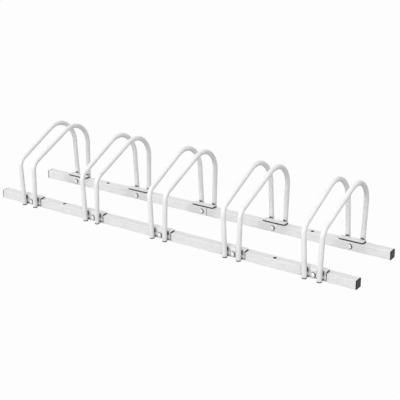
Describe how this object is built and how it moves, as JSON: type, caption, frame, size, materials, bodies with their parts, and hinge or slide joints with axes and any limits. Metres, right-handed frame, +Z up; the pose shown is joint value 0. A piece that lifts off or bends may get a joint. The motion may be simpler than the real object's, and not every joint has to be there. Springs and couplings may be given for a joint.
{
  "type": "floor bike rack",
  "caption": "Floor bike rack: slotted holders of bent tube hoops, welded to angle brackets and bolted across square floor rails, with plastic plugs and caps.",
  "frame": {"origin": "centre of the footprint, on the floor", "axes": "+X along the rails, +Y from the low front of the hoops to their high back, +Z up"},
  "size_m": [1.3, 0.2864, 0.2347],
  "materials": {
    "rail_zinc": "zinc plated, satin grey with faint mottling",
    "hoop_zinc": "bright zinc plated, pale and smooth",
    "bracket_zinc": "zinc plated sheet",
    "bolt_zinc": "bright zinc plated",
    "black_plastic": "black moulded polyethylene, low sheen"
  },
  "bodies": {
    "root": {"rail_front_left": "rail_zinc", "rail_plug_front_left": "black_plastic", "rail_front_right": "rail_zinc", "rail_plug_front_right": "black_plastic", "rail_back_left": "rail_zinc", "rail_plug_back_left": "black_plastic", "rail_back_right": "rail_zinc", "rail_plug_back_right": "black_plastic", "holder_1_hoop_left": "hoop_zinc", "holder_1_cap_front_left": "black_plastic", "holder_1_cap_back_left": "black_plastic", "holder_1_hoop_right": "hoop_zinc", "holder_1_cap_front_right": "black_plastic", "holder_1_cap_back_right": "black_plastic", "holder_1_bracket_front": "bracket_zinc", "holder_1_bolt_front": "bolt_zinc", "holder_1_bracket_back": "bracket_zinc", "holder_1_bolt_back": "bolt_zinc", "holder_2_hoop_left": "hoop_zinc", "holder_2_cap_front_left": "black_plastic", "holder_2_cap_back_left": "black_plastic", "holder_2_hoop_right": "hoop_zinc", "holder_2_cap_front_right": "black_plastic", "holder_2_cap_back_right": "black_plastic", "holder_2_bracket_front": "bracket_zinc", "holder_2_bolt_front": "bolt_zinc", "holder_2_bracket_back": "bracket_zinc", "holder_2_bolt_back": "bolt_zinc", "holder_3_hoop_left": "hoop_zinc", "holder_3_cap_front_left": "black_plastic", "holder_3_cap_back_left": "black_plastic", "holder_3_hoop_right": "hoop_zinc", "holder_3_cap_front_right": "black_plastic", "holder_3_cap_back_right": "black_plastic", "holder_3_bracket_front": "bracket_zinc", "holder_3_bolt_front": "bolt_zinc", "holder_3_bracket_back": "bracket_zinc", "holder_3_bolt_back": "bolt_zinc", "holder_4_hoop_left": "hoop_zinc", "holder_4_cap_front_left": "black_plastic", "holder_4_cap_back_left": "black_plastic", "holder_4_hoop_right": "hoop_zinc", "holder_4_cap_front_right": "black_plastic", "holder_4_cap_back_right": "black_plastic", "holder_4_bracket_front": "bracket_zinc", "holder_4_bolt_front": "bolt_zinc", "holder_4_bracket_back": "bracket_zinc", "holder_4_bolt_back": "bolt_zinc", "holder_5_hoop_left": "hoop_zinc", "holder_5_cap_front_left": "black_plastic", "holder_5_cap_back_left": "black_plastic", "holder_5_hoop_right": "hoop_zinc", "holder_5_cap_front_right": "black_plastic", "holder_5_cap_back_right": "black_plastic", "holder_5_bracket_front": "bracket_zinc", "holder_5_bolt_front": "bolt_zinc", "holder_5_bracket_back": "bracket_zinc", "holder_5_bolt_back": "bolt_zinc"}
  },
  "joints": []
}
